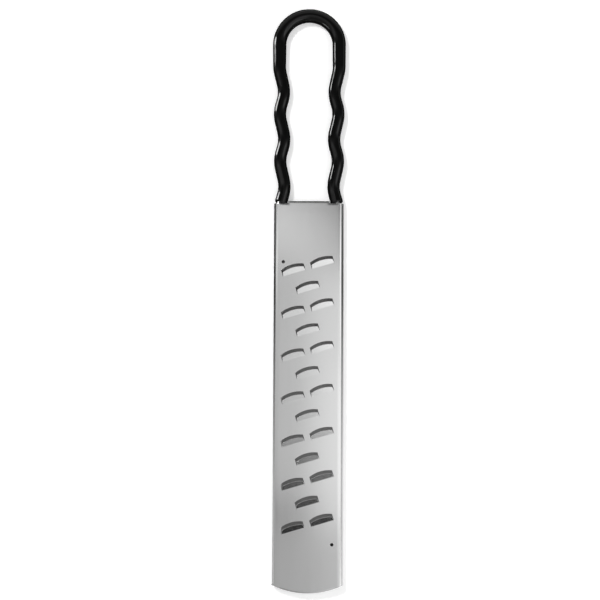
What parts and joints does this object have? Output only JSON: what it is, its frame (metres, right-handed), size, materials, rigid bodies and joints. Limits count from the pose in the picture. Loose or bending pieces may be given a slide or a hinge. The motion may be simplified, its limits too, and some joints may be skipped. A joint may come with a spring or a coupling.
{
  "type": "rasp zester",
  "caption": "Long flat stainless zester with slanted raised teeth, edges rolled round a bent wire, and a wavy loop handle coated in black vinyl.",
  "frame": {"origin": "middle of the part's box in X and Y, on the surface that it lies on", "axes": "+Z leaves the cutting face, +Y runs from the tip to the handle, +X is across the blade"},
  "size_m": [0.0442, 0.3496, 0.0086],
  "materials": {
    "blade_steel": "satin, fine lengthwise grain",
    "wire_steel": "bright drawn wire",
    "black_vinyl": "glossy dipped coat"
  },
  "bodies": {
    "root": {"blade": "blade_steel", "handle_wire": "wire_steel", "grip_coating": "black_vinyl"}
  },
  "joints": []
}
